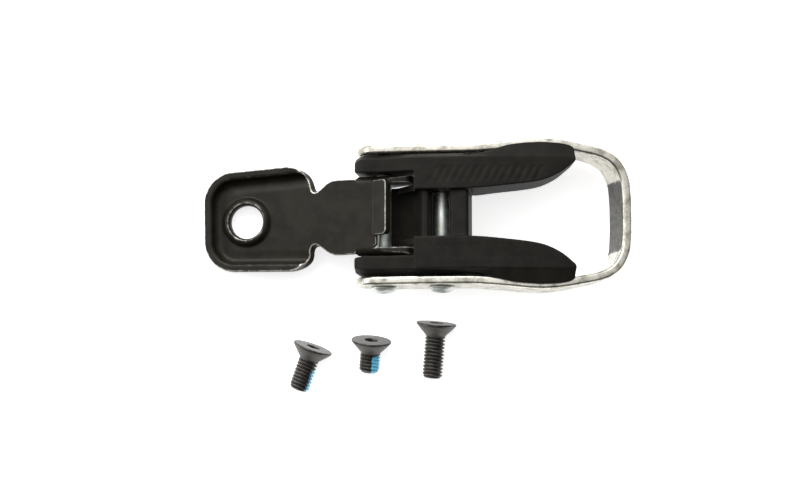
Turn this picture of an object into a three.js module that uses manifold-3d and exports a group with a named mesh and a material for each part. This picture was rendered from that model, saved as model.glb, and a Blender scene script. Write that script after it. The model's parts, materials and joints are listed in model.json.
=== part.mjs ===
// Over-centre boot buckle, lying open on a table beside its three spare mounting screws.
//
// The lever is a bent aluminium bar, the bail, riveted round a moulded insert with two finger forks.
// Two cross rivets carry steel sleeves. The hinge sleeve carries the pressed steel base plate, which
// folds under the lever when the buckle is shut. The catch sleeve is a roller for the strap's hook.
//
// Millimetres, +Z up. X runs along the lever, from the base plate to the bail's closed end.
// The lever and the base plate are each modelled about the hinge axis, which runs along Y.

import * as THREE from "three";
import { mergeVertices } from "three/addons/utils/BufferGeometryUtils.js";
import Module from "manifold-3d";

const wasm = await Module();
wasm.setup();

const DEGREE = Math.PI / 180;
const ROUND_SIDES = 16;
const FIT_GAP = 0.15; // between a sleeve or rivet and the hole it sits in
const WALL_GAP = 0.25; // between pieces that lie against each other

// ---- driving dimensions -------------------------------------------------------------------------

// Bail: a flat bar bent to a U, its closed end drooping along an arc.
const barThickness = 1.8;
const barHeight = 9.6;
const barChamfer = 0.4;
const armEnd = -5.6;
const armHalfWidth = 13.15; // the bar's centreline beside the hinge
const bendStart = 10;
const bendRadius = 103;
const bailCentreline = [
  [6, armHalfWidth],
  [13, armHalfWidth],
  [18.5, 13.2],
  [24, 13.6],
  [29.5, 14.1],
  [34, 13.95],
  [39, 13.1],
  [43, 12.1],
  [45.6, 10.4],
  [47.2, 7.4],
  [47.65, 3.6],
  [47.7, 0],
];

// Cross rivets and their sleeves.
const catchX = 11.7;
const rivetShank = 1.05;
const rivetHeadRadius = 2.6;
const rivetHeadHeight = 1.15;
const sleeveRadius = 1.5;
const sleeveHalfLength = 12.0;

// Insert: side arms beside the hinge, then two forks joined by a guard and a bridge.
const insertTop = 6.6;
const armTop = 5.5;
const armNose = 3.2; // how far its rounded end reaches
const armSlope = [0.95, 1.6]; // the chamfer along its outer top edge, across and down
const armHeel = 13; // past here the arm is as shallow as the fork
const insertBottom = -4.5;
const forkBottom = -2.3; // beside the catch; the forks thin out past it
const forkTipBottom = -0.6;
const pocketHalfWidth = 8.35;
const pocketEnd = 6.9;
const forkEnd = 37.4;
const forkDraft = 0.5; // how much wider a finger is at its foot, past the bridge
const forkOuterStep = 2.2; // from the fork's top down to where its outer face starts
const shoulderStep = 0.35; // the shoulder's outer edge above the bail
const crestY = 10.95;
const guardLip = [1.0, -1.5]; // where its hollow face starts, under the hinge
const guardFoot = [2.4, -2.1]; // under the lip, clear of the swinging plate
const guardTop = 5.4;
const guardBack = 9.8; // beside the catch roller
const guardHalfWidth = 5.2;
const guardCorner = 0.8;
const guardLedge = [10.6, -1.75]; // its foot reaches in under the catch roller
const armEndInset = 0.4; // how much of its nose's rounding shows in plan
const cheekOuterY = 6.1; // the guard's side walls, just inside the plate's lugs
const cheekTop = 4.4;
const bridgeStart = 13.75;
const bridgeEnd = 17.6;
const bridgeDrop = 1.1; // from the forks' tops to the bridge's top
const bridgeChamfer = 0.5;

// Base plate: pressed sheet with an upturned rim, two lugs on the hinge and an upturned tab.
const sheet = 1.5;
const plateUnderside = 2.7; // above the hinge axis
const plateYaw = 1.4 * DEGREE; // the pad and web are set askew of the lugs
const padEnd = -35.65;
const padHalfWidth = 10.05; // at its rounded end
const padFlare = 0.04; // how fast its sides widen towards the neck
const padCornerRadius = 6.2;
const padBend = 3.5 * DEGREE;
const neckX = -12.6;
const neckHalfWidth = 5.5;
const rimHeight = 2.1;
const rimSpread = 2.6; // from the rim's outer edge to the flat floor
const bendInner = 1.2;
const holeX = -27.3;
const holeRadius = 3.3; // at its waist; the dimple widens it to both sides
const holeRim = 3.85;
const dimpleRadius = 5.0;
const dimpleHeight = 1.0;
const webHalfWidth = 7.5;
const webEndX = -0.6; // beside the tab, over the hinge sleeve
const lugOuterY = 7.95;
const lugHeel = -4.6;
const lugReach = 6.0;
const lugDepth = 3.7;
const lugDroop = 0.5; // how much lower its top is at the free end
const lugNose = [1.6, 1.6]; // its rounded corner, along and down
const lugBendCut = 0.8; // how far the bend's rounding comes in from the square corner
const tabWidth = 10.9;
const tabLength = 3.6;
const tabCorner = 0.9;
const tabShift = 1.5;
const tabRootX = -1.2;
const tabOverlap = 1.2; // how far it runs on into the web
const tabAngle = 30 * DEGREE;

// Where the rim is cut away beside the neck, as cubic curves from the pad's side to the neck. The
// notch is a U on one side and a V on the other.
const rimEndX = -17.6;
const rimEndY = 10.5;
const notchU = [
  [[-15.4, rimEndY], [-13.8, 9.0], [-13.7, 6.8]],
  [[-13.65, 5.9], [-13.2, neckHalfWidth], [neckX, neckHalfWidth]],
];
const notchV = [
  [[-14.9, rimEndY], [-13.9, 8.8], [-13.3, 6.4]],
  [[-13.2, 6.0], [-12.9, 5.6], [neckX, neckHalfWidth]],
];

// Screws: M4 countersunk, hexagon socket, lying on the table.
const screwRadius = 2.0;
const screwHeadRadius = 4.0;
const screwHeadEdge = 0.35;
const socketFlats = 2.5;
const socketDepth = 1.5;
const screws = [
  { size: "medium", length: 9, head: [-14.1, -25.9], tip: [-16.8, -33.4] },
  { size: "short", length: 6.5, head: [-2.5, -24.5], tip: [-3.0, -30.5] },
  { size: "long", length: 11, head: [10.5, -21.1], tip: [9.6, -31.8] },
];

// ---- materials ----------------------------------------------------------------------------------

const material = (color, roughness, metalness) =>
  new THREE.MeshStandardMaterial({ color, roughness, metalness });
const finishes = {
  aluminium: material(0xd2d0c8, 0.3, 1.0),
  nylon: material(0x2b2a27, 0.55, 0.0),
  blackSteel: material(0x35322c, 0.38, 0.6),
  zincSteel: material(0xc9cec6, 0.25, 1.0),
  blackOxide: material(0x4a4642, 0.45, 0.8),
};

// ---- solids -------------------------------------------------------------------------------------

// A closed geometry as a manifold solid, turned right side out.
function solidOf(geometry) {
  const bare = geometry.index ? geometry.toNonIndexed() : geometry.clone();
  bare.deleteAttribute("normal");
  bare.deleteAttribute("uv");
  const merged = mergeVertices(bare, 1e-4);
  const triVerts = new Uint32Array(merged.index.array);
  const build = () =>
    new wasm.Manifold(
      new wasm.Mesh({
        numProp: 3,
        vertProperties: merged.attributes.position.array,
        triVerts,
      }),
    );
  const made = build();
  if (made.volume() > 0) return made;
  for (let i = 0; i < triVerts.length; i += 3)
    [triVerts[i + 1], triVerts[i + 2]] = [triVerts[i + 2], triVerts[i + 1]];
  return build();
}

const joined = (solids) => solids.reduce((whole, next) => whole.add(next));
const cut = (solid, tools) => tools.reduce((rest, tool) => rest.subtract(tool), solid);

function meshOf(name, solid, finish) {
  const found = solid.getMesh();
  const corners = new Float32Array(found.numVert * 3);
  for (let i = 0; i < found.numVert; i++)
    corners.set(found.vertProperties.subarray(i * found.numProp, i * found.numProp + 3), i * 3);
  const geometry = new THREE.BufferGeometry()
    .setAttribute("position", new THREE.BufferAttribute(corners, 3))
    .setIndex(new THREE.BufferAttribute(found.triVerts, 1));
  geometry.computeVertexNormals();
  const mesh = new THREE.Mesh(geometry, finish);
  mesh.name = name;
  return mesh;
}

// A solid through a row of rings. Every ring is convex and has the same number of points.
function loft(rings) {
  const sides = rings[0].length;
  const positions = [];
  const quad = (a, b, c, d) => positions.push(...a, ...b, ...c, ...a, ...c, ...d);
  for (let r = 0; r + 1 < rings.length; r++)
    for (let i = 0; i < sides; i++) {
      const j = (i + 1) % sides;
      quad(rings[r][i], rings[r][j], rings[r + 1][j], rings[r + 1][i]);
    }
  const [first, last] = [rings[0], rings[rings.length - 1]];
  for (let i = 1; i + 1 < sides; i++) {
    positions.push(...first[0], ...first[i + 1], ...first[i]);
    positions.push(...last[0], ...last[i], ...last[i + 1]);
  }
  return solidOf(
    new THREE.BufferGeometry().setAttribute(
      "position",
      new THREE.Float32BufferAttribute(positions, 3),
    ),
  );
}

// A side view, drawn in X and Z, given width in Y.
function acrossY(shape, fromY, toY, curveSegments = 6) {
  const geometry = new THREE.ExtrudeGeometry(shape, {
    depth: toY - fromY,
    bevelEnabled: false,
    curveSegments,
  });
  return solidOf(geometry.rotateX(Math.PI / 2).translate(0, toY, 0));
}

// A plan view, drawn in X and Y, given height in Z.
function upZ(shape, fromZ, toZ, curveSegments = 6) {
  const geometry = new THREE.ExtrudeGeometry(shape, {
    depth: toZ - fromZ,
    bevelEnabled: false,
    curveSegments,
  });
  return solidOf(geometry.translate(0, 0, fromZ));
}

const rodAlongY = (x, z, radius, halfLength) =>
  solidOf(
    new THREE.CylinderGeometry(radius, radius, 2 * halfLength, ROUND_SIDES).translate(x, 0, z),
  );

const latheAlongY = (profile, sides = ROUND_SIDES) =>
  solidOf(
    new THREE.LatheGeometry(
      profile.map(([r, y]) => new THREE.Vector2(r, y)),
      sides,
    ),
  );

// Steps from one number to another, both ends included.
const steps = (from, to, count) =>
  Array.from({ length: count + 1 }, (_, i) => from + ((to - from) * i) / count);

// A smooth curve through a table of [x, value] rows, read at one x.
function curveAt(table, x) {
  const last = table.length - 1;
  const at = Math.min(Math.max(x, table[0][0]), table[last][0]);
  const i = Math.max(1, table.findIndex(([rowX]) => rowX >= at));
  const slope = (k) => {
    const [x0, v0] = table[Math.max(k - 1, 0)];
    const [x1, v1] = table[Math.min(k + 1, last)];
    return (v1 - v0) / (x1 - x0);
  };
  const [[xa, va], [xb, vb]] = [table[i - 1], table[i]];
  const span = xb - xa;
  const t = (at - xa) / span;
  const [t2, t3] = [t * t, t * t * t];
  const [ma, mb] = [slope(i - 1) * span, slope(i) * span];
  return va * (2 * t3 - 3 * t2 + 1) + ma * (t3 - 2 * t2 + t) + vb * (3 * t2 - 2 * t3) + mb * (t3 - t2);
}

// The lever is drawn straight, and everything past bendStart follows this arc downwards.
function bent([x, y, z]) {
  if (x <= bendStart) return [x, y, z];
  const turn = (x - bendStart) / bendRadius;
  const out = bendRadius + z;
  return [bendStart + out * Math.sin(turn), y, out * Math.cos(turn) - bendRadius];
}

// ---- lever --------------------------------------------------------------------------------------

const halfBar = barHeight / 2;
const armRoundX = armEnd + halfBar;

// The bail's centreline in plan, from one arm's end to the middle of the closed end.
const bailCurve = new THREE.CatmullRomCurve3(
  [...bailCentreline, ...bailCentreline.slice(0, -1).map(([x, y]) => [x, -y]).reverse()].map(
    ([x, y]) => new THREE.Vector3(x, y, 0),
  ),
);

function bailRing(point, normal, half) {
  const side = barThickness / 2;
  const chamfer = Math.min(barChamfer, half * 0.45);
  const section = [
    [-side + chamfer, -half],
    [side - chamfer, -half],
    [side, -half + chamfer],
    [side, half - chamfer],
    [side - chamfer, half],
    [-side + chamfer, half],
    [-side, half - chamfer],
    [-side, -half + chamfer],
  ];
  return section.map(([off, z]) => bent([point.x + normal.x * off, point.y + normal.y * off, z]));
}

function bailFrame() {
  const roundEnd = steps(80, 10, 7).map((degrees) => degrees * DEGREE);
  const armRing = (x, half, sign) =>
    bailRing({ x, y: sign * armHalfWidth }, { x: 0, y: 1 }, half);
  const endRings = (sign) =>
    roundEnd.map((a) =>
      armRing(armRoundX - halfBar * Math.sin(a), halfBar * Math.cos(a), sign),
    );
  const curveRings = steps(0, 1, 72).map((t) => {
    const tangent = bailCurve.getTangentAt(t);
    return bailRing(bailCurve.getPointAt(t), { x: -tangent.y, y: tangent.x }, halfBar);
  });
  const mirrored = endRings(-1)
    .reverse()
    .map((ring) => bailEndOrder(ring));
  const rings = [
    ...endRings(1),
    armRing(armRoundX, halfBar, 1),
    ...curveRings,
    bailEndOrder(armRing(armRoundX, halfBar, -1)),
    ...mirrored,
  ];
  const holes = [0, catchX].map((x) =>
    rodAlongY(x, 0, rivetShank + FIT_GAP, armHalfWidth + barThickness),
  );
  return cut(loft(rings), holes);
}

// The centreline turns back on the far arm, so a ring there is drawn in the mirrored order.
function bailEndOrder(ring) {
  const [a, b, c, d, e, f, g, h] = ring;
  return [b, a, h, g, f, e, d, c];
}

// Half the width between the bail's inner faces.
const bailInner = (x) => curveAt(bailCentreline, Math.max(x, 6)) - barThickness / 2 - WALL_GAP;

// One side of the insert beside the hinge, full height, between the pocket and the bail.
function sideArm(side) {
  const roundFrom = armEnd + armNose;
  const round = [0.2, 0.35, 0.6, 1, 1.5, 2.1, 2.7].map((offset) => armEnd + offset);
  const stations = [...round, roundFrom, 6, ...steps(11, 16.5, 3)];
  const [slopeAcross, slopeDown] = armSlope;
  const rings = stations.map((x) => {
    const along = Math.max(0, roundFrom - x) / (armNose + 0.2);
    const inset = 3 * (1 - Math.sqrt(1 - along ** 2));
    const top = armTop - inset;
    const bottom = (x > armHeel ? forkBottom - 0.4 : insertBottom) + inset;
    const inner = pocketHalfWidth + inset * 0.15;
    const outer = armHalfWidth - barThickness / 2 - WALL_GAP - inset * armEndInset;
    return [
      [inner, bottom],
      [outer, bottom],
      [outer, top - slopeDown],
      [outer - slopeAcross, top],
      [inner, top],
    ].map(([y, z]) => bent([x, side * y, z]));
  });
  return loft(rings);
}

const forkInnerEdge = [
  [6, 4.7],
  [18, 4.75],
  [25, 5.4],
  [29.5, 6.0],
  [32, 6.7],
  [34.5, 8.0],
  [36, 9.2],
  [forkEnd, 10.4],
];

const forkUnderside = [
  [16, forkBottom],
  [21.5, forkTipBottom],
];

// One fork, from the pocket's end to its tip, under the crest.
function fork(side) {
  const stations = steps(pocketEnd, forkEnd, 26);
  const rings = stations.map((x) => {
    const inner = curveAt(forkInnerEdge, x);
    const outer = Math.min(bailInner(x), bailInner(18) + 0.1 * (x - 18));
    const draft = x > bridgeEnd ? forkDraft : 0;
    const tip = Math.max(0, x - 36) * 0.5;
    const bottom = curveAt(forkUnderside, x) + tip;
    return [
      [inner - draft, bottom],
      [outer, bottom],
      [outer, insertTop - forkOuterStep],
      [crestY + 0.15, insertTop - tip],
      [inner, insertTop - tip],
    ].map(([y, z]) => bent([x, side * y, z]));
  });
  return loft(rings);
}

const overlapOuterEdge = [
  [17.5, 11.6],
  [20, 12.1],
  [22.5, 12.9],
  [25, 13.6],
  [29.5, 14.1],
  [34, 14.0],
  [36.5, 13.5],
  [forkEnd - 0.2, 12.9],
];

// The fork's shoulder, which slopes from the crest down over the bail's top edge.
function shoulder(side) {
  const floor = halfBar + WALL_GAP;
  const stations = steps(17.5, forkEnd - 0.2, 18);
  const rings = stations.map((x) => {
    const outer = curveAt(overlapOuterEdge, x);
    const inner = Math.max(crestY - 1.5, curveAt(forkInnerEdge, x) + 0.05);
    const crest = Math.max(crestY, inner + 0.1);
    return [
      [inner, floor],
      [outer, floor],
      [outer, floor + shoulderStep],
      [crest, insertTop - 0.05],
      [inner, insertTop - 0.05],
    ].map(([y, z]) => bent([x, side * y, z]));
  });
  return loft(rings);
}

// The wall before the catch roller. It hollows out under the base plate's tab, down to a lip.
function guard() {
  const shape = new THREE.Shape();
  const [lipX, lipZ] = guardLip;
  const [footX, footZ] = guardFoot;
  const faceTop = guardTop - guardCorner;
  shape.moveTo(footX, forkBottom);
  shape.lineTo(lipX, footZ);
  shape.lineTo(lipX, lipZ);
  shape.bezierCurveTo(5.0, -1.3, 7.4, 1.2, 8.1, faceTop);
  shape.quadraticCurveTo(8.3, guardTop, 9.0, guardTop);
  shape.quadraticCurveTo(guardBack, guardTop, guardBack, faceTop);
  shape.lineTo(guardBack, guardLedge[1]);
  shape.lineTo(...guardLedge);
  shape.lineTo(guardLedge[0], forkBottom);
  return acrossY(shape, -guardHalfWidth, guardHalfWidth, 8);
}

// The wall that closes the guard's hollow at one side, sloping up to the fork.
function cheek(side) {
  const shape = new THREE.Shape();
  const [lipX, lipZ] = guardLip;
  const [footX, footZ] = guardFoot;
  shape.moveTo(footX, forkBottom);
  shape.lineTo(lipX, footZ);
  shape.lineTo(lipX, lipZ);
  shape.lineTo(footX, lipZ);
  shape.lineTo(pocketEnd + 0.1, cheekTop);
  shape.lineTo(pocketEnd + 0.1, forkBottom);
  const [from, to] = [guardHalfWidth - 0.5, cheekOuterY];
  return side > 0 ? acrossY(shape, from, to) : acrossY(shape, -to, -from);
}

function bridge() {
  const shape = new THREE.Shape();
  const top = insertTop - bridgeDrop;
  const bottom = forkBottom + 0.4;
  const c = bridgeChamfer;
  shape.moveTo(bridgeStart, bottom + c);
  shape.lineTo(bridgeStart + c, bottom);
  shape.lineTo(bridgeEnd - c, bottom);
  shape.lineTo(bridgeEnd, bottom + c);
  shape.lineTo(bridgeEnd, top - c);
  shape.lineTo(bridgeEnd - c, top);
  shape.lineTo(bridgeStart + c, top);
  shape.lineTo(bridgeStart, top - c);
  return acrossY(shape, -guardHalfWidth, guardHalfWidth);
}

function leverInsert() {
  const halves = [1, -1].flatMap((side) =>
    [sideArm, fork, shoulder, cheek].map((shapeOf) => shapeOf(side)),
  );
  const bores = [0, catchX].map((x) => rodAlongY(x, 0, sleeveRadius + FIT_GAP, armHalfWidth));
  return cut(joined([...halves, guard(), bridge()]), bores);
}

function rivet() {
  const face = armHalfWidth + barThickness / 2 + 0.05;
  const head = (sign) => [
    [0, sign * (face + rivetHeadHeight)],
    [rivetHeadRadius * 0.45, sign * (face + rivetHeadHeight * 0.97)],
    [rivetHeadRadius * 0.8, sign * (face + rivetHeadHeight * 0.7)],
    [rivetHeadRadius, sign * (face + rivetHeadHeight * 0.25)],
    [rivetHeadRadius, sign * face],
    [rivetShank, sign * face],
  ];
  return latheAlongY([...head(-1), ...head(1).reverse()]);
}

function sleeve() {
  const bore = rivetShank + FIT_GAP;
  return cut(rodAlongY(0, 0, sleeveRadius, sleeveHalfLength), [
    rodAlongY(0, 0, bore, sleeveHalfLength + 1),
  ]);
}

function lever() {
  const group = new THREE.Group();
  const add = (name, solid, finish, x = 0) => {
    const mesh = meshOf(name, solid, finish);
    mesh.position.x = x;
    group.add(mesh);
  };
  add("bail_frame", bailFrame(), finishes.aluminium);
  add("lever_insert", leverInsert(), finishes.nylon);
  add("hinge_rivet", rivet(), finishes.zincSteel);
  add("hinge_sleeve", sleeve(), finishes.zincSteel);
  add("catch_rivet", rivet(), finishes.zincSteel, catchX);
  add("catch_roller", sleeve(), finishes.zincSteel, catchX);
  return group;
}

// ---- base plate ---------------------------------------------------------------------------------

// The pad's outline, drawn in by an inset. Its straight sides run on past the neck.
function padOutline(inset) {
  const radius = padCornerRadius - inset;
  const [left, right] = [padEnd + inset, 0];
  const wide = padHalfWidth - inset;
  const flared = wide + padFlare * (right - left - radius);
  const shape = new THREE.Shape();
  shape.moveTo(right, -flared);
  shape.lineTo(right, flared);
  shape.lineTo(left + radius, wide);
  shape.absarc(left + radius, wide - radius, radius, Math.PI / 2, Math.PI, false);
  shape.absarc(left + radius, radius - wide, radius, Math.PI, 1.5 * Math.PI, false);
  return shape.getPoints(8).slice(0, -1);
}

// A solid whose plan grows from one outline at the bottom to another at the top.
function tray(levels) {
  return loft(levels.map(([inset, z]) => padOutline(inset).map((p) => [p.x, p.y, z])));
}

// The pad's plan inside the rim's cut corners.
function padPlan() {
  const wide = rimEndY + 1;
  const neckEnd = neckX + 0.6;
  const shape = new THREE.Shape();
  shape.moveTo(padEnd - 1, -wide);
  shape.lineTo(rimEndX, -wide);
  shape.lineTo(rimEndX, -rimEndY);
  for (const [a, b, c] of notchU) shape.bezierCurveTo(a[0], -a[1], b[0], -b[1], c[0], -c[1]);
  shape.lineTo(neckEnd, -neckHalfWidth);
  shape.lineTo(neckEnd, neckHalfWidth);
  shape.lineTo(neckX, neckHalfWidth);
  const [side, tip] = notchV;
  shape.bezierCurveTo(...tip[1], ...tip[0], ...side[2]);
  shape.bezierCurveTo(...side[1], ...side[0], rimEndX, rimEndY);
  shape.lineTo(rimEndX, wide);
  shape.lineTo(padEnd - 1, wide);
  return shape;
}

// The pressed pad, flat on z = 0: floor, upturned rim, and a raised collar round the screw hole.
function pad() {
  const rimTop = sheet + rimHeight;
  const turns = steps(0, 80, 5).map((degrees) => degrees * DEGREE);
  const bend = (radius, inset, z) =>
    turns.map((a) => [inset - radius * Math.sin(a), z + radius * (1 - Math.cos(a))]);
  const outer = tray([...bend(bendInner + sheet, rimSpread, 0), [0, rimTop]]);
  const inner = tray([...bend(bendInner, rimSpread + 0.1, sheet), [sheet * 0.75, rimTop + 0.3]]);
  const collar = latheAlongY(
    [
      [0, 0],
      [dimpleRadius, 0],
      [dimpleRadius, sheet],
      [holeRim, sheet + dimpleHeight],
      [0, sheet + dimpleHeight],
    ],
    24,
  ).rotate([90, 0, 0]);
  const hole = latheAlongY(
    [
      [0, -1],
      [holeRadius + dimpleHeight + 1, -1],
      [holeRadius, dimpleHeight],
      [holeRim + 0.1, sheet + dimpleHeight + 0.3],
      [0, sheet + dimpleHeight + 0.3],
    ],
    24,
  ).rotate([90, 0, 0]);
  const shell = outer.subtract(inner).intersect(upZ(padPlan(), -1, rimTop + 2, 5));
  return shell.add(collar.translate([holeX, 0, 0])).subtract(hole.translate([holeX, 0, 0]));
}

// The flat stretch between the neck and the hinge.
function web() {
  const shape = new THREE.Shape();
  const half = [
    [neckX - 0.3, neckHalfWidth],
    [neckX + 0.2, neckHalfWidth],
    [-10.6, webHalfWidth - 0.7],
    [-10.0, webHalfWidth - 0.3],
    [-9.2, webHalfWidth],
    [-3.2, webHalfWidth],
    [-2.0, lugOuterY - sheet + 0.2],
  ];
  half.forEach(([x, y], i) => (i ? shape.lineTo(x, y) : shape.moveTo(x, y)));
  shape.lineTo(tabRootX, tabShift + tabWidth / 2);
  shape.lineTo(tabRootX, tabShift - tabWidth / 2);
  shape.lineTo(webEndX, tabShift - tabWidth / 2);
  shape.lineTo(webEndX, -tabWidth / 2 - 0.4);
  half.reverse().forEach(([x, y]) => shape.lineTo(x, -y));
  return upZ(shape, plateUnderside, plateUnderside + sheet);
}

// A lug in side view: its top runs level with the plate and its foot is round the hinge.
function lug(side) {
  const top = plateUnderside + sheet;
  const endTop = top - lugDroop;
  const [noseAlong, noseDown] = lugNose;
  const shape = new THREE.Shape();
  shape.moveTo(lugHeel, plateUnderside);
  shape.lineTo(-lugDepth, 0);
  shape.absarc(0, 0, lugDepth, Math.PI, 1.75 * Math.PI, false);
  shape.lineTo(lugReach, -0.6);
  shape.lineTo(lugReach, endTop - noseDown);
  shape.quadraticCurveTo(lugReach, endTop, lugReach - noseAlong, endTop);
  shape.lineTo(-1.4, top);
  shape.lineTo(lugHeel, top);
  const [from, to] = side > 0 ? [lugOuterY - sheet, lugOuterY] : [-lugOuterY, sheet - lugOuterY];
  return acrossY(shape, from, to, 8);
}

function tab() {
  const half = tabWidth / 2;
  const corner = tabCorner;
  const shape = new THREE.Shape();
  shape.moveTo(-tabOverlap, -half);
  shape.lineTo(tabLength - corner, -half);
  shape.absarc(tabLength - corner, corner - half, corner, -Math.PI / 2, 0, false);
  shape.absarc(tabLength - corner, half - corner, corner, 0, Math.PI / 2, false);
  shape.lineTo(-tabOverlap, half);
  const lying = new THREE.ExtrudeGeometry(shape, {
    depth: sheet,
    bevelEnabled: false,
    curveSegments: 3,
  });
  lying.translate(0, 0, -sheet).rotateY(-tabAngle);
  return solidOf(lying.translate(tabRootX, tabShift, plateUnderside + sheet));
}

// Takes the square corner off the bend between the web and a lug.
function lugBend(side) {
  const size = 3;
  const offset = (size / 2) * Math.SQRT2 - lugBendCut;
  const box = new THREE.BoxGeometry(12, size, size).rotateX(Math.PI / 4);
  return solidOf(box.translate(1.4, side * (lugOuterY + offset), plateUnderside + sheet + offset));
}

function basePlate() {
  const bentPad = pad()
    .translate([-neckX, 0, 0])
    .rotate([0, padBend / DEGREE, 0])
    .translate([neckX, 0, plateUnderside]);
  const bores = [rodAlongY(0, 0, sleeveRadius + FIT_GAP, lugOuterY + 1)];
  const flat = bentPad.add(web()).rotate([0, 0, plateYaw / DEGREE]);
  const sheetMetal = joined([flat, lug(1), lug(-1)]);
  return cut(sheetMetal, [...bores, lugBend(1), lugBend(-1)]).add(tab());
}

// ---- screws -------------------------------------------------------------------------------------

// Standing on its tip along Y, head upwards, with the head's top face at y = 0.
function screw(length) {
  const coneEnd = -(screwHeadEdge + screwHeadRadius - screwRadius);
  const body = latheAlongY([
    [0, -length],
    [screwRadius - 0.4, -length],
    [screwRadius, -length + 0.4],
    [screwRadius, coneEnd],
    [screwHeadRadius, -screwHeadEdge],
    [screwHeadRadius, -0.05],
    [screwHeadRadius - 0.1, 0],
    [0, 0],
  ]);
  const socket = solidOf(
    new THREE.CylinderGeometry(
      socketFlats / Math.sqrt(3),
      socketFlats / Math.sqrt(3),
      2 * socketDepth,
      6,
    ),
  );
  return body.subtract(socket);
}

// Where a screw that lies on its head's edge and its tip's edge has its axis.
function lyingScrew({ size, length, head, tip }) {
  const name = `mounting_screw_${size}`;
  const mesh = meshOf(name, screw(length), finishes.blackOxide);
  const lean = Math.atan2(screwHeadRadius - screwRadius, length - 2 * screwHeadEdge);
  const heading = Math.atan2(tip[1] - head[1], tip[0] - head[0]);
  const flat = new THREE.Group();
  flat.rotation.set(0, 0, heading + Math.PI / 2);
  mesh.rotation.x = lean;
  flat.add(mesh);
  flat.position.set(head[0], head[1], 0);
  flat.updateMatrixWorld(true);
  flat.position.z = -new THREE.Box3().setFromObject(flat, true).min.z;
  return flat;
}

// ---- assembly -----------------------------------------------------------------------------------

// The lever lies on its arms' round ends and on the closed end of the bail.
const reach = bent([bailCentreline.at(-1)[0] + barThickness / 2 - barChamfer, 0, -halfBar]);
const leverPitch = Math.asin(
  (-halfBar - reach[2]) / Math.hypot(reach[0] - armRoundX, reach[2]),
);
const hingeHeight = halfBar - armRoundX * Math.sin(leverPitch);

const leverGroup = lever();
leverGroup.rotation.y = -leverPitch;
leverGroup.position.z = hingeHeight;

// The base plate hangs from the hinge until its pad's end meets the table.
const plateGroup = new THREE.Group();
plateGroup.add(meshOf("base_plate", basePlate(), finishes.blackSteel));
const footX = padEnd + rimSpread - neckX;
const foot = [
  neckX + footX * Math.cos(padBend),
  plateUnderside - footX * Math.sin(padBend),
];
const platePitch =
  Math.asin(hingeHeight / Math.hypot(...foot)) + Math.atan2(foot[1], -foot[0]);
plateGroup.rotation.y = -platePitch;
plateGroup.position.z = hingeHeight;

const buckle = new THREE.Group();
buckle.add(leverGroup, plateGroup, ...screws.map(lyingScrew));

// The origin is at the middle of the whole part's footprint, on the table.
buckle.updateMatrixWorld(true);
const extent = new THREE.Box3().setFromObject(buckle, true);
const centre = extent.getCenter(new THREE.Vector3());
buckle.position.set(-centre.x, -centre.y, -extent.min.z);

export default buckle;
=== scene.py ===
"""The looks of an over-centre boot buckle and its three spare mounting screws.

Each piece is drawn in millimetres in the frame it belongs to, which is the lever's, the base plate's
or a screw's own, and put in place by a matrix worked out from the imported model's joints and mounts.
In the lever's and the plate's frames the hinge axis is Y, and X runs along the buckle.
"""

import json
import math

import bmesh
import bpy
from mathutils import Matrix, Vector

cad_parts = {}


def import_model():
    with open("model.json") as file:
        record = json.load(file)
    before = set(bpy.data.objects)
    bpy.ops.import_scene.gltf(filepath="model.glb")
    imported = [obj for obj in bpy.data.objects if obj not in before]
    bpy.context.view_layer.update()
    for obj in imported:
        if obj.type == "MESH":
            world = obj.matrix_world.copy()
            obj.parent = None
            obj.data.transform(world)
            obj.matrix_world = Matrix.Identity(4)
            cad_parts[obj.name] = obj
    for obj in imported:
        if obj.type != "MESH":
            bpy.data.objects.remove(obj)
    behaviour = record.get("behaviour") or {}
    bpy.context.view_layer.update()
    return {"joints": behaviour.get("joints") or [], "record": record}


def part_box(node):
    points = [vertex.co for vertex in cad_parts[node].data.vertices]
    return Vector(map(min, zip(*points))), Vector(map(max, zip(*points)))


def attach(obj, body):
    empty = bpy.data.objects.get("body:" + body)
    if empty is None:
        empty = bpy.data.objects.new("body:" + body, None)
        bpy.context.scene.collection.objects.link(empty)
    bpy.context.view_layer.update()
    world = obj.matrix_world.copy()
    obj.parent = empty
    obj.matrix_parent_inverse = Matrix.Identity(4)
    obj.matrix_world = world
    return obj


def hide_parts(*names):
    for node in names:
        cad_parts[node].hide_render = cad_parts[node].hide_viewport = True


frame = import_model()

MM = 0.001
GAP = 0.25  # between pieces that lie against each other
BORE_GAP = 0.15

# ---- sizes, in millimetres ----------------------------------------------------------------------

BAR_THICKNESS = 1.8
BAR_HEIGHT = 9.6
BAR_ROUNDING = 0.55
HALF_BAR = BAR_HEIGHT / 2
ARM_END = -5.6
ARM_HALF_WIDTH = 13.15
ARM_ROUND_X = ARM_END + HALF_BAR
BEND_START = 10.0
BEND_RADIUS = 103.0
BAIL_CENTRELINE = [
    (6, 13.15), (13, 13.15), (18.5, 13.2), (24, 13.6), (29.5, 14.1), (34, 13.95),
    (39, 13.1), (43, 12.1), (45.6, 10.4), (47.2, 7.4), (47.65, 3.6), (47.7, 0),
]

RIVET_SHANK = 1.05
RIVET_HEAD_RADIUS = 2.6
RIVET_HEAD_HEIGHT = 1.15
SLEEVE_RADIUS = 1.5
SLEEVE_HALF_LENGTH = 12.0

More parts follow.
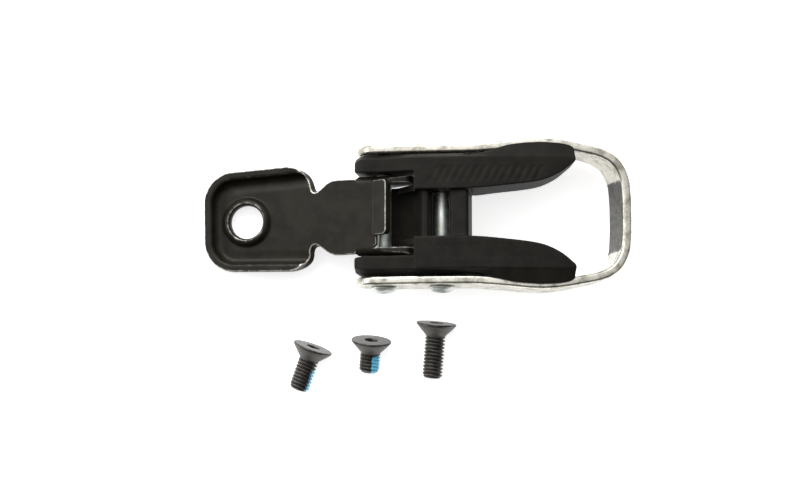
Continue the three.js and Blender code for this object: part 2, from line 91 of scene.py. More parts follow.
INSERT_TOP = 6.6
ARM_TOP = 5.5
INSERT_BOTTOM = -4.5
SIDE_ARM_END = 16.5
SIDE_ARM_STEP_X = 13  # the arms are shallower past here
SIDE_ARM_NOSE = 3.2  # the length of their rounded front ends
SIDE_ARM_NOSE_RADIUS = 3.4
SIDE_ARM_NOSE_DEPTH = 3
SIDE_ARM_BEVEL = (0.95, 1.6)  # across the top's outer edge, and down it
FORK_BOTTOM = -2.3
FORK_TIP_BOTTOM = -0.6
POCKET_HALF_WIDTH = 8.35
POCKET_END = 6.9
FORK_END = 37.4
CREST_Y = 10.95
FORK_INNER_EDGE = [
    (6, 4.7), (18, 4.75), (25, 5.4), (29.5, 6.0), (32, 6.7), (34.5, 8.0), (36, 9.2), (FORK_END, 10.4),
]
FORK_UNDERSIDE = [(16, FORK_BOTTOM), (21.5, FORK_TIP_BOTTOM)]
OVERLAP_OUTER_EDGE = [
    (17.5, 11.6), (20, 12.1), (22.5, 12.9), (25, 13.6), (29.5, 14.1), (34, 14.0), (36.5, 13.5),
    (FORK_END - 0.2, 12.9),
]
BRIDGE = (13.75, 17.6)
GUARD_LIP = (1.0, -1.5)
GUARD_FOOT = (2.4, -2.1)
GUARD_TOP = 5.4
GUARD_BROW = (8.1, 9.0)  # where its face turns into its top
GUARD_BACK = 9.8
GUARD_HALF_WIDTH = 5.2
GUARD_CORNER = 0.8
GUARD_LEDGE = (10.6, -1.75)
CHEEK_OUTER_Y = 6.1
CHEEK_TOP = 4.4
# The slanted grip ribs on the forks' tops, which the CAD model leaves out.
RIB_FROM, RIB_TO = 10.0, 31.0
RIB_PITCH = 1.5
RIB_MIDDLE_Y, RIB_HALF_LENGTH = 7.7, 1.45
RIB_FADE = 0.2
RIB_SLANT = 0.45
RIB_HEIGHT = 0.06

SHEET = 1.5
PLATE_UNDERSIDE = 2.7
PLATE_YAW = math.radians(1.4)
PAD_END = -35.65
PAD_HALF_WIDTH = 10.05
PAD_FLARE = 0.04
PAD_CORNER_RADIUS = 6.2
PAD_BEND = math.radians(3.5)
NECK_X = -12.6
NECK_HALF_WIDTH = 5.5
RIM_HEIGHT = 2.1
RIM_SPREAD = 2.6
BEND_INNER = 1.2
# The rim's section from its outer face over its top, as rows of (inset, drop below the top).
RIM_SECTION = [(0, 0.05), (0.1, 0), (1.05, 0), (1.35, 0.12), (1.6, 0.5)]
CHANNEL_WIDTH = 1.7  # between the rim and the pad's flat floor
CHANNEL_DEPTH = 0.18
SHEAR = 0.75  # how far the cut corners slant in through the sheet
HOLE_X = -27.3
HOLE_RADIUS = 3.3
HOLE_RIM = 3.85
DIMPLE_RADIUS = 5.0
DIMPLE_HEIGHT = 1.0
WEB_HALF_WIDTH = 7.5
WEB_END_X = -0.6
LUG_OUTER_Y = 7.95
LUG_HEEL = -4.6
LUG_REACH = 6.3  # 0.3 past the noses in the CAD model
LUG_DEPTH = 3.7
LUG_DROOP = 0.5
LUG_NOSE = (1.6, 1.6)
TAB_WIDTH = 10.9
TAB_LENGTH = 3.6
TAB_CORNER = 0.9
TAB_SHIFT = 1.5
TAB_ROOT_X = -1.2
TAB_OVERLAP = 1.2
TAB_ANGLE = math.radians(30)
# Where the rim is cut away beside the neck: a U on one side and a V on the other.
RIM_END = (-17.6, 10.5)
NOTCH_U = (
    [RIM_END, (-15.4, 10.5), (-13.8, 9.0), (-13.7, 6.8)],
    [(-13.7, 6.8), (-13.65, 5.9), (-13.2, NECK_HALF_WIDTH), (NECK_X, NECK_HALF_WIDTH)],
)
NOTCH_V = (
    [RIM_END, (-14.9, 10.5), (-13.9, 8.8), (-13.3, 6.4)],
    [(-13.3, 6.4), (-13.2, 6.0), (-12.9, 5.6), (NECK_X, NECK_HALF_WIDTH)],
)

SCREW_RADIUS = 2.0
SCREW_HEAD_RADIUS = 4.0
SCREW_HEAD_EDGE = 0.35
SOCKET_FLATS = 2.5
SOCKET_DEPTH = 1.5
THREAD_PITCH = 0.7  # the screws' shanks are smooth in the CAD model
THREAD_DEPTH = 0.4
# Each screw's length, and where its head and tip lie from the hinge.
SCREWS = {
    "medium": (9.0, (-14.1, -25.9), (-16.8, -33.4)),
    "short": (6.5, (-2.5, -24.5), (-3.0, -30.5)),
    "long": (11.0, (10.5, -21.1), (9.6, -31.8)),
}

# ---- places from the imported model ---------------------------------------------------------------

joints = {joint["name"]: joint for joint in frame["joints"]}
mounts = {mount["name"]: mount for mount in frame["record"]["mounts"]}
hinge = Vector(joints["plate_hinge"]["pos_m"])
catch = Vector(joints["roller_spin"]["pos_m"])
catch_x = (catch - hinge).length / MM
lever_pitch = math.atan2(catch.z - hinge.z, catch.x - hinge.x)
pad_normal = Vector(mounts["pad_boot_side"]["axis"])
pad_pitch = math.atan2(-pad_normal.x, pad_normal.z)
plate_pitch = pad_pitch + math.atan(math.tan(PAD_BEND) * math.cos(PLATE_YAW))


def pitched(pitch):
    """From millimetres about the hinge to the row frame, with +X raised by an angle."""
    return Matrix.Translation(hinge) @ Matrix.Rotation(-pitch, 4, "Y") @ Matrix.Scale(MM, 4)


LEVER = pitched(lever_pitch)
PLATE = pitched(plate_pitch)

# ---- numbers and curves -------------------------------------------------------------------------


def steps(start, end, count):
    return [start + (end - start) * i / count for i in range(count + 1)]


def curve_at(table, x):
    """A smooth curve through a table of (x, value) rows, read at one x."""
    last = len(table) - 1
    at = min(max(x, table[0][0]), table[last][0])
    i = next((k for k in range(1, last + 1) if table[k][0] >= at), last)

    def slope(k):
        (x0, v0), (x1, v1) = table[max(k - 1, 0)], table[min(k + 1, last)]
        return (v1 - v0) / (x1 - x0)

    (xa, va), (xb, vb) = table[i - 1], table[i]
    return hermite((at - xa) / (xb - xa), va, vb, slope(i - 1) * (xb - xa), slope(i) * (xb - xa))


def hermite(t, start, end, start_slope, end_slope):
    t2, t3 = t * t, t * t * t
    ends = start * (2 * t3 - 3 * t2 + 1) + end * (3 * t2 - 2 * t3)
    return ends + start_slope * (t3 - 2 * t2 + t) + end_slope * (t3 - t2)


def smooth_path(points, spacing):
    """Points about a spacing apart on a smooth curve through given points in plan."""
    path = []
    count = len(points)
    knots = [0.0]
    for a, b in zip(points, points[1:]):
        knots.append(knots[-1] + math.sqrt(math.dist(a, b)))

    def slope(k, axis):
        low, high = max(k - 1, 0), min(k + 1, count - 1)
        return (points[high][axis] - points[low][axis]) / (knots[high] - knots[low])

    for k in range(count - 1):
        span = knots[k + 1] - knots[k]
        pieces = max(2, round(math.dist(points[k], points[k + 1]) / spacing))
        for t in steps(0, 1, pieces)[:-1]:
            path.append(tuple(
                hermite(t, points[k][a], points[k + 1][a], slope(k, a) * span, slope(k + 1, a) * span)
                for a in (0, 1)
            ))
    return path + [tuple(points[-1])]


def bent(point):
    """The lever is drawn straight, and everything past BEND_START follows this arc downwards."""
    x, y, z = point
    if x <= BEND_START:
        return (x, y, z)
    turn = (x - BEND_START) / BEND_RADIUS
    out = BEND_RADIUS + z
    return (BEND_START + out * math.sin(turn), y, out * math.cos(turn) - BEND_RADIUS)


def straightened(point):
    """The reverse of bent."""
    x, y, z = point
    if x <= BEND_START:
        return (x, y, z)
    across, up = x - BEND_START, z + BEND_RADIUS
    return (BEND_START + math.atan2(across, up) * BEND_RADIUS, y, math.hypot(across, up) - BEND_RADIUS)


def arc(cx, cy, radius, start, end, count):
    """Points on an arc, with angles in degrees."""
    angles = [math.radians(a) for a in steps(start, end, count)]
    return [(cx + radius * math.cos(a), cy + radius * math.sin(a)) for a in angles]


def bezier(points, count):
    """Points on a Bezier curve of any order."""
    order = len(points) - 1
    found = []
    for t in steps(0, 1, count):
        weights = [math.comb(order, i) * t**i * (1 - t) ** (order - i) for i in range(order + 1)]
        found.append(tuple(sum(w * p[a] for w, p in zip(weights, points)) for a in (0, 1)))
    return found


# ---- mesh building ------------------------------------------------------------------------------


def new_object(name, verts, faces):
    mesh = bpy.data.meshes.new(name)
    mesh.from_pydata([tuple(v) for v in verts], [], faces)
    mesh.validate()
    made = bpy.data.objects.new(name, mesh)
    bpy.context.scene.collection.objects.link(made)
    tidy_normals(made)
    return made


def tidy_normals(obj, weld=1e-4):
    """Welds doubled points and turns every face outwards."""
    work = bmesh.new()
    work.from_mesh(obj.data)
    bmesh.ops.remove_doubles(work, verts=work.verts, dist=weld)
    bmesh.ops.dissolve_degenerate(work, edges=work.edges, dist=weld)
    bmesh.ops.recalc_face_normals(work, faces=work.faces)
    work.to_mesh(obj.data)
    work.free()


def loft(name, rings):
    """A closed solid through rings that all have the same number of points."""
    sides = len(rings[0])
    verts = [point for ring in rings for point in ring]
    faces = []
    for r in range(len(rings) - 1):
        for i in range(sides):
            j = (i + 1) % sides
            faces.append((r * sides + i, r * sides + j, (r + 1) * sides + j, (r + 1) * sides + i))
    faces.append(tuple(range(sides)))
    faces.append(tuple(len(verts) - sides + i for i in range(sides)))
    return new_object(name, verts, faces)


def prism_y(name, outline, from_y, to_y):
    """A side view, in X and Z, given width in Y."""
    return loft(name, [[(x, y, z) for x, z in outline] for y in (from_y, to_y)])


def prism_z(name, outline, from_z, to_z):
    """A plan, in X and Y, given height in Z."""
    return loft(name, [[(x, y, z) for x, y in outline] for z in (from_z, to_z)])


def prism_x(name, outline, from_x, to_x):
    """A section, in Y and Z, given length in X."""
    return loft(name, [[(x, y, z) for y, z in outline] for x in (from_x, to_x)])


def lathe(name, profile, sides, axis="Y"):
    """A closed profile of (radius, height) points turned about an axis."""
    turns = [2 * math.pi * i / sides for i in range(sides)]
    place = {
        "Y": lambda r, h, a: (r * math.cos(a), h, r * math.sin(a)),
        "Z": lambda r, h, a: (r * math.cos(a), r * math.sin(a), h),
    }[axis]
    verts = [place(r, h, a) for r, h in profile for a in turns]
    faces = []
    rows = len(profile)
    for row in range(rows):
        after = (row + 1) % rows
        if profile[row][0] == 0 and profile[after][0] == 0:
            continue
        for i in range(sides):
            j = (i + 1) % sides
            faces.append((row * sides + i, row * sides + j, after * sides + j, after * sides + i))
    return new_object(name, verts, faces)


def moved(obj, matrix):
    obj.data.transform(matrix)
    return obj


def joined(objs):
    """One object that holds the shells of several."""
    work = bmesh.new()
    for obj in objs:
        work.from_mesh(obj.data)
    work.to_mesh(objs[0].data)
    work.free()
    for obj in objs[1:]:
        discard(obj)
    return objs[0]


def discard(obj):
    mesh = obj.data
    bpy.data.objects.remove(obj)
    bpy.data.meshes.remove(mesh)


def modified(obj, kind, **settings):
    """Applies one modifier to an object's mesh."""
    modifier = obj.modifiers.new(kind, kind)
    for name, value in settings.items():
        setattr(modifier, name, value)
    bpy.context.view_layer.update()
    evaluated = obj.evaluated_get(bpy.context.evaluated_depsgraph_get())
    result = bpy.data.meshes.new_from_object(evaluated)
    obj.modifiers.remove(modifier)
    old, obj.data = obj.data, result
    bpy.data.meshes.remove(old)
    return obj


def combined(obj, operation, tools):
    """Cuts, joins or trims an object with other solids, which are then gone."""
    for tool in tools:
        modified(obj, "BOOLEAN", operation=operation, object=tool, solver="EXACT")
        discard(tool)
    return obj


def moulded(obj, voxel, rounds):
    """Melts overlapping shells into one skin and rounds its edges off."""
    modified(obj, "REMESH", mode="VOXEL", voxel_size=voxel)
    return modified(obj, "SMOOTH", factor=0.5, iterations=rounds)


def point_values(obj, name, values):
    """Stores one number at each point, for the materials to read."""
    stored = obj.data.attributes.new(name, "FLOAT", "POINT")
    stored.data.foreach_set("value", values)


def edge_values(obj, rounds=10):
    """Stores how far each point stands out, in mm, from a smoothed copy: high on outer edges."""
    points = [v.co.copy() for v in obj.data.vertices]
    normals = [v.normal.copy() for v in obj.data.vertices]
    smoothed = bpy.data.objects.new("smoothed", obj.data.copy())
    bpy.context.scene.collection.objects.link(smoothed)
    modified(smoothed, "SMOOTH", factor=0.5, iterations=rounds)
    values = [(a - b.co).dot(n) for a, b, n in zip(points, smoothed.data.vertices, normals)]
    discard(smoothed)
    point_values(obj, "edge", values)


def finished(obj, name, body, node, material, place):
    """Names a piece, puts it in the row frame, hides the CAD node it stands in for, and ties it to its
    body.
    """
    obj.name = obj.data.name = name
    obj.data.transform(place)
    obj.data.polygons.foreach_set("use_smooth", [True] * len(obj.data.polygons))
    obj.data.materials.clear()
    obj.data.materials.append(material)
    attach(obj, body)
    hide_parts(node)
    return obj


# ---- material building --------------------------------------------------------------------------


def new_material(name):
    """A material's node tree and its shader."""
    material = bpy.data.materials.new(name)
    material.use_nodes = True
    tree = material.node_tree
    shader = next(n for n in tree.nodes if n.type == "BSDF_PRINCIPLED")
    return material, tree, shader


def add_node(tree, kind, inputs=(), **settings):
    made = tree.nodes.new("ShaderNode" + kind)
    for name, value in settings.items():
        setattr(made, name, value)
    for name, value in dict(inputs).items():
        if isinstance(value, bpy.types.NodeSocket):
            tree.links.new(value, made.inputs[name])
        else:
            made.inputs[name].default_value = value
    return made


def noise(tree, vector, scale, detail=3.0, roughness=0.55):
    inputs = {"Vector": vector, "Scale": scale, "Detail": detail, "Roughness": roughness}
    return add_node(tree, "TexNoise", inputs).outputs["Fac"]


def spread(tree, value, low, high, to_low=0.0, to_high=1.0):
    """Maps a range of a value smoothly onto another range."""
    inputs = {"Value": value, "From Min": low, "From Max": high, "To Min": to_low, "To Max": to_high}
    made = add_node(tree, "MapRange", inputs, interpolation_type="SMOOTHSTEP", clamp=True)
    return made.outputs["Result"]


def arithmetic(tree, operation, a, b):
    return add_node(tree, "Math", {0: a, 1: b}, operation=operation).outputs[0]


def mixed(tree, factor, a, b):
    """A colour between two others."""
    made = add_node(tree, "Mix", {0: factor, 6: a, 7: b}, data_type="RGBA")
    return made.outputs[2]


def stretched(tree, vector, scale):
    return add_node(tree, "Mapping", {"Vector": vector, "Scale": scale}).outputs[0]


def object_point(tree):
    """Millimetres in the piece's own space."""
    place = add_node(tree, "TexCoord").outputs["Object"]
    return stretched(tree, place, (1 / MM,) * 3)


def bump(tree, height, distance_mm, strength=1.0, normal=None):
    inputs = {"Height": height, "Distance": distance_mm * MM, "Strength": strength}
    if normal is not None:
        inputs["Normal"] = normal
    return add_node(tree, "Bump", inputs).outputs[0]


def link(tree, shader, **sockets):
    """Links values to the shader's colour, roughness, metallic and normal."""
    for name, value in sockets.items():
        socket = "Base Color" if name == "colour" else name.capitalize()
        tree.links.new(value, shader.inputs[socket])


def edge_wear(tree, place, low, high):
    """1 on outer edges, broken up by noise, and 0 on flats. The limits are in millimetres."""
    edge = add_node(tree, "Attribute", attribute_name="edge").outputs["Fac"]
    broken = spread(tree, noise(tree, place, 1.1, 6.0, 0.7), 0.25, 0.75, 0.55, 1.45)
    return spread(tree, arithmetic(tree, "MULTIPLY", edge, broken), low, high)


def aluminium():
    """Tumbled bar: satin along its length, pitted, with darker blotches, and painted shade on the closed
    end's inner face.
    """
    material, tree, shader = new_material("tumbled_aluminium")
    place = object_point(tree)
    along = add_node(tree, "UVMap").outputs[0]
    brushed = noise(tree, stretched(tree, along, (0.35, 9.0, 1.0)), 1.0, 5.0, 0.6)
    blotches = noise(tree, place, 0.45, 4.0, 0.6)
    dashes = noise(tree, stretched(tree, along, (1.6, 4.5, 1.0)), 1.0, 5.0, 0.7)
    flecks = spread(tree, dashes, 0.56, 0.68)
    pits = spread(tree, noise(tree, place, 3.2, 4.0, 0.65), 0.60, 0.72)
    # Painted shade: the middle of the closed end's inner face is painted dark and less metallic, in
    # place of its reflection of the shaded floor.
    painted_shade = add_node(tree, "Attribute", attribute_name="painted_shade").outputs["Fac"]
    ragged = arithmetic(tree, "ADD", painted_shade, arithmetic(tree, "SUBTRACT", blotches, 0.5))
    painted_shade_mask = spread(tree, ragged, 0.35, 0.75)
    bright, dull, dark = (0.74, 0.715, 0.635, 1), (0.36, 0.345, 0.285, 1), (0.06, 0.06, 0.052, 1)
    clean = mixed(tree, spread(tree, blotches, 0.40, 0.68), bright, dull)
    marks = arithmetic(tree, "MAXIMUM", pits, arithmetic(tree, "MULTIPLY", flecks, 0.7))
    pitted = mixed(tree, arithmetic(tree, "MULTIPLY", marks, 0.75), clean, dark)
    patchy = spread(tree, noise(tree, place, 0.9, 5.0, 0.65), 0.42, 0.64)
    painted_shade_colour = mixed(tree, patchy, (0.016, 0.017, 0.016, 1), (0.09, 0.09, 0.08, 1))
    painted_shade_share = arithmetic(tree, "MULTIPLY", painted_shade_mask, 0.92)
    colour = mixed(tree, painted_shade_share, pitted, painted_shade_colour)
    satin = spread(tree, brushed, 0.3, 0.7, 0.22, 0.36)
    marks_and_painted_shade = arithmetic(tree, "MAXIMUM", marks, painted_shade_share)
    rough = arithmetic(tree, "ADD", satin, arithmetic(tree, "MULTIPLY", marks_and_painted_shade, 0.2))
    metallic = arithmetic(tree, "SUBTRACT", 1.0, painted_shade_share)
    relief = arithmetic(tree, "SUBTRACT", arithmetic(tree, "MULTIPLY", brushed, 0.4), pits)
    normal = bump(tree, relief, 0.02, 0.5)
    link(tree, shader, colour=colour, roughness=rough, metallic=metallic, normal=normal)
    shader.inputs["Specular IOR Level"].default_value = 0.2
    return material


def nylon():
    """Moulded plastic: fine grain, with slightly polished edges."""
    material, tree, shader = new_material("moulded_nylon")
    place = object_point(tree)
    grain = noise(tree, place, 7.0, 3.0, 0.6)
    cloudy = noise(tree, place, 0.35, 3.0, 0.5)
    polish = edge_wear(tree, place, 0.02, 0.09)
    shades = (0.0096, 0.0087, 0.0070, 1), (0.0145, 0.0132, 0.0108, 1)
    base = mixed(tree, spread(tree, cloudy, 0.3, 0.7), *shades)
    colour = mixed(tree, arithmetic(tree, "MULTIPLY", polish, 0.4), base, (0.05, 0.047, 0.042, 1))
    matt = spread(tree, grain, 0.3, 0.7, 0.44, 0.58)
    rough = arithmetic(tree, "SUBTRACT", matt, arithmetic(tree, "MULTIPLY", polish, 0.1))
    link(tree, shader, colour=colour, roughness=rough, normal=bump(tree, grain, 0.018, 0.6))
    shader.inputs["Specular IOR Level"].default_value = 0.10
    return material


def black_coat():
    """Satin black coat on pressed steel, worn through along the sheared edges."""
    material, tree, shader = new_material("black_coated_steel")
    place = object_point(tree)
    peel = noise(tree, place, 2.6, 4.0, 0.6)
    cloudy = noise(tree, place, 0.30, 4.0, 0.6)
    cut = add_node(tree, "Attribute", attribute_name="sheared").outputs["Fac"]
    rubbed = edge_wear(tree, place, 0.010, 0.038)
    bare = arithmetic(tree, "MULTIPLY", edge_wear(tree, place, 0.002, 0.025), cut)
    worn = arithmetic(tree, "MAXIMUM", arithmetic(tree, "MULTIPLY", rubbed, 0.75), bare)
    streaks = noise(tree, stretched(tree, place, (0.5, 3.0, 1.0)), 1.6, 6.0, 0.7)
    scuffs = spread(tree, streaks, 0.60, 0.75)
    shades = (0.0120, 0.0102, 0.0070, 1), (0.0195, 0.0170, 0.0122, 1)
    coat = mixed(tree, spread(tree, cloudy, 0.35, 0.65), *shades)
    scuffed = mixed(tree, arithmetic(tree, "MULTIPLY", scuffs, 0.22), coat, (0.07, 0.067, 0.06, 1))
    colour = mixed(tree, worn, scuffed, (0.66, 0.64, 0.58, 1))
    rough = spread(tree, peel, 0.3, 0.7, 0.32, 0.46)
    link(tree, shader, colour=colour, roughness=rough, metallic=worn, normal=bump(tree, peel, 0.02, 0.5))
    shader.inputs["Specular IOR Level"].default_value = 0.16
    return material


def zinc():
    """Bright zinc plate on turned steel."""
    material, tree, shader = new_material("zinc_plate")
    place = object_point(tree)
    turned = noise(tree, stretched(tree, place, (0.6, 7.0, 0.6)), 1.0, 4.0, 0.6)
    cloudy = noise(tree, place, 0.8, 4.0, 0.6)
    shades = (0.82, 0.86, 0.83, 1), (0.64, 0.67, 0.60, 1)
    colour = mixed(tree, spread(tree, cloudy, 0.35, 0.65), *shades)
    rough = spread(tree, turned, 0.3, 0.7, 0.44, 0.56)
    link(tree, shader, colour=colour, roughness=rough, normal=bump(tree, turned, 0.008, 0.5))
    shader.inputs["Metallic"].default_value = 1.0
    return material


def black_oxide():
    """Oiled black oxide, rubbed bright on the crests, with a blue thread-lock patch where one is."""
    material, tree, shader = new_material("black_oxide_steel")
    place = object_point(tree)
    cloudy = noise(tree, place, 0.9, 4.0, 0.65)
    fine = noise(tree, place, 6.0, 3.0, 0.6)
    rubbed = edge_wear(tree, place, 0.02, 0.08)
    patch = add_node(tree, "Attribute", attribute_name="patch").outputs["Fac"]
    ragged = arithmetic(tree, "SUBTRACT", noise(tree, place, 1.6, 4.0, 0.7), 0.5)
    blue = spread(tree, arithmetic(tree, "ADD", patch, ragged), 0.47, 0.60)
    shades = (0.058, 0.053, 0.048, 1), (0.100, 0.093, 0.086, 1)
    oxide = mixed(tree, spread(tree, cloudy, 0.35, 0.65), *shades)
    rubbed_colour = mixed(tree, arithmetic(tree, "MULTIPLY", rubbed, 0.7), oxide, (0.40, 0.38, 0.35, 1))
    blues = (0.08, 0.46, 0.70, 1), (0.22, 0.75, 0.97, 1)
    speckled = mixed(tree, spread(tree, fine, 0.35, 0.65), *blues)
    colour = mixed(tree, blue, rubbed_colour, speckled)
    metallic = arithmetic(tree, "MULTIPLY", arithmetic(tree, "SUBTRACT", 1.0, blue), 0.85)
    rough = spread(tree, cloudy, 0.3, 0.7, 0.34, 0.48)
    normal = bump(tree, fine, 0.02, 0.5)
    link(tree, shader, colour=colour, roughness=rough, metallic=metallic, normal=normal)
    return material


# ---- bail ---------------------------------------------------------------------------------------


def bar_half_section():
    """From the middle of the bar's outer face over its top edge to the middle of its inner face."""
    side, r = BAR_THICKNESS / 2, BAR_ROUNDING
    flat = [(side, z) for z in steps(0, HALF_BAR - r, 8)]
    corner = arc(side - r, HALF_BAR - r, r, 0, 90, 8)[1:]
    mirrored = [(-off, z) for off, z in reversed(flat + corner)]
    return flat + corner + [(0.0, HALF_BAR)] + mirrored


def bail_path():
    """Points along the bar's centreline in plan, from one arm's round end to the other's."""
    far = [(x, -y) for x, y in reversed(BAIL_CENTRELINE[:-1])]
    arm = [(ARM_ROUND_X, ARM_HALF_WIDTH), (2.5, ARM_HALF_WIDTH)]
    other = [(x, -y) for x, y in reversed(arm)]
    return smooth_path(arm + BAIL_CENTRELINE + far + other, 0.35)


def bail_frame():
    half = bar_half_section()
    around = [0.0]
    for a, b in zip(half, half[1:]):
        around.append(around[-1] + math.dist(a, b))
    columns = [(off, z, v) for (off, z), v in zip(half, around)]
    lower = [(off, -z, -v) for off, z, v in reversed(columns)]
    path = bail_path()
    verts, uvs, faces = [], [], []

    def strip(rows):
        """Adds a grid of (point, uv) rows."""
        start = len(verts)
        width = len(rows[0])
        for row in rows:
            verts.extend(point for point, _ in row)
            uvs.extend(uv for _, uv in row)
        for r in range(len(rows) - 1):
            for c in range(width - 1):
                a = start + r * width + c
                faces.append((a, a + 1, a + width + 1, a + width))

    travelled = 0.0
    rows = {"upper": [], "lower": []}
    for i, (x, y) in enumerate(path):
        ahead, behind = path[min(i + 1, len(path) - 1)], path[max(i - 1, 0)]
        tangent = Vector((ahead[0] - behind[0], ahead[1] - behind[1])).normalized()
        if i:
            travelled += math.dist(path[i - 1], (x, y))
        for name, loop in (("upper", columns), ("lower", lower)):
            rows[name].append([
                (bent((x - tangent.y * off, y + tangent.x * off, z)), (travelled, v))
                for off, z, v in loop
            ])
    for found in rows.values():
        strip(found)
    for sign, start in ((1, 0.0), (-1, travelled)):
        strip([
            [
                (
                    (ARM_ROUND_X + z * math.cos(a), sign * (ARM_HALF_WIDTH + off), z * math.sin(a)),
                    (start + sign * v * math.cos(a), v * math.sin(a)),
                )
                for off, z, v in columns
            ]
            for a in [math.radians(d) for d in steps(90, 270, 24)]
        ])
    made = new_object_with_uv("bail", verts, uvs, faces)
    holes = [
        moved(lathe("hole", rod_profile(RIVET_SHANK + BORE_GAP, ARM_HALF_WIDTH + 3), 48),
              Matrix.Translation((x, 0, 0)))
        for x in (0, catch_x)
    ]
    combined(made, "DIFFERENCE", holes)
    # Painted shade for the closed end's inner face, read by the aluminium material.
    point_values(made, "painted_shade", [bail_painted_shade(v.co) for v in made.data.vertices])
    return made


def new_object_with_uv(name, verts, uvs, faces):
    mesh = bpy.data.meshes.new(name)
    mesh.from_pydata(verts, [], faces)
    layer = mesh.uv_layers.new(name="UVMap")
    for loop in mesh.loops:
        layer.data[loop.index].uv = uvs[loop.vertex_index]
    made = bpy.data.objects.new(name, mesh)
    bpy.context.scene.collection.objects.link(made)
    tidy_normals(made)
    return made


def bail_painted_shade(co):
    """Painted shade on the closed end's inner face: its middle, away from the corners, is painted dark.
    """
    x, y, z = straightened(co)
    inner = BAIL_CENTRELINE[-1][0] - BAR_THICKNESS / 2
    if abs(x - inner) > 0.5 or abs(z) > HALF_BAR - 0.5:
        return 0.0
    return max(0.25, min(1.0, (8.4 - abs(y)) / 2.2)) if abs(y) < 11.0 else 0.0


def rod_profile(radius, half_length):
    return [(0, -half_length), (radius, -half_length), (radius, half_length), (0, half_length)]


# ---- insert -------------------------------------------------------------------------------------


def bail_inner(x):
    """Half the width between the bail's inner faces."""
    return curve_at(BAIL_CENTRELINE, max(x, 6)) - BAR_THICKNESS / 2 - GAP


def side_arm(side):
    """Lines the bail's arm beside the pocket. The far one ramps up to its fork."""
    round_from = ARM_END + SIDE_ARM_NOSE
    stations = [round_from - SIDE_ARM_NOSE * math.cos(math.radians(a)) for a in steps(20, 85, 12)]
    stations += [round_from] + steps(0, SIDE_ARM_END, 12)
    across, down = SIDE_ARM_BEVEL
    rings = []
    for x in stations:
        inset = 0.0
        if x < round_from:
            share = (round_from - x) / SIDE_ARM_NOSE_RADIUS
            inset = SIDE_ARM_NOSE_DEPTH * (1 - math.sqrt(1 - share**2))
        ramp = min(1.0, max(0.0, x / POCKET_END)) if side > 0 else 0.0
        top = ARM_TOP - inset + hermite(ramp, 0, INSERT_TOP - ARM_TOP, 0, 0)
        bottom = (FORK_BOTTOM - 0.4 if x > SIDE_ARM_STEP_X else INSERT_BOTTOM) + inset
        inner = POCKET_HALF_WIDTH + inset * 0.15
        outer = ARM_HALF_WIDTH - BAR_THICKNESS / 2 - GAP - inset * 0.4
        section = [
            (inner, bottom), (outer, bottom), (outer, top - down), (outer - across, top), (inner, top),
        ]
        rings.append([bent((x, side * y, z)) for y, z in section])
    return loft("arm", rings)


def fork(side):
    rings = []
    for x in steps(POCKET_END, FORK_END, 60):
        inner = curve_at(FORK_INNER_EDGE, x)
        outer = min(bail_inner(x), bail_inner(18) + 0.1 * (x - 18))
        draft = 0.5 if x > BRIDGE[1] else 0.0
        tip = max(0.0, x - 36) * 0.5
        bottom = curve_at(FORK_UNDERSIDE, x) + tip
        section = [
            (inner - draft, bottom), (outer, bottom), (outer, INSERT_TOP - 2.2),
            (CREST_Y + 0.15, INSERT_TOP - tip), (inner, INSERT_TOP - tip),
        ]
        rings.append([bent((x, side * y, z)) for y, z in section])
    return loft("fork", rings)


def shoulder(side):
    """Slopes from the fork's crest down over the bail's top edge."""
    floor = HALF_BAR + GAP
    rings = []
    for x in steps(17.5, FORK_END - 0.2, 50):
        outer = curve_at(OVERLAP_OUTER_EDGE, x)
        inner = max(CREST_Y - 1.5, curve_at(FORK_INNER_EDGE, x) + 0.05)
        section = [
            (inner, floor), (outer, floor), (outer, floor + 0.35),
            (max(CREST_Y, inner + 0.1), INSERT_TOP - 0.05), (inner, INSERT_TOP - 0.05),
        ]
        rings.append([bent((x, side * y, z)) for y, z in section])
    return loft("shoulder", rings)


def guard():
    """The wall before the catch roller, hollowed out under the base plate's tab."""
    lip_x, lip_z = GUARD_LIP
    foot_x, foot_z = GUARD_FOOT
    face_top = GUARD_TOP - GUARD_CORNER
    brow_from, brow_to = GUARD_BROW
    face = bezier([(lip_x, lip_z), (5.0, -1.3), (7.4, 1.2), (brow_from, face_top)], 24)
    brow = bezier([(brow_from, face_top), (brow_from + 0.2, GUARD_TOP), (brow_to, GUARD_TOP)], 6)[1:]
    back = bezier([(brow_to, GUARD_TOP), (GUARD_BACK, GUARD_TOP), (GUARD_BACK, face_top)], 6)[1:]
    ledge_x, ledge_z = GUARD_LEDGE
    foot = [
        (GUARD_BACK, ledge_z), (ledge_x, ledge_z), (ledge_x, FORK_BOTTOM), (foot_x, FORK_BOTTOM),
        (lip_x, foot_z),
    ]
    return prism_y("guard", face + brow + back + foot, -GUARD_HALF_WIDTH, GUARD_HALF_WIDTH)


def cheek(side):
    """The wall that closes the guard's hollow at one side, sloping up to the fork."""
    lip_x, lip_z = GUARD_LIP
    foot_x, foot_z = GUARD_FOOT
    outline = [
        (foot_x, FORK_BOTTOM), (lip_x, foot_z), (lip_x, lip_z), (foot_x, lip_z),
        (POCKET_END + 0.1, CHEEK_TOP), (POCKET_END + 0.1, FORK_BOTTOM),
    ]
    from_y, to_y = sorted((side * (GUARD_HALF_WIDTH - 0.5), side * CHEEK_OUTER_Y))
    return prism_y("cheek", outline, from_y, to_y)


def pocket_corner(side):
    """Rounds the pocket's inner corner between the side arm and the fork."""
    r, x, y = 0.7, POCKET_END, POCKET_HALF_WIDTH
    curve = arc(x - r, y - r, r, 90, 0, 8)
    outline = [(x + 0.1, y + 0.1), (x - r, y + 0.1)] + curve + [(x + 0.1, y - r)]
    return prism_z("corner", [(px, side * py) for px, py in outline], FORK_BOTTOM, ARM_TOP)


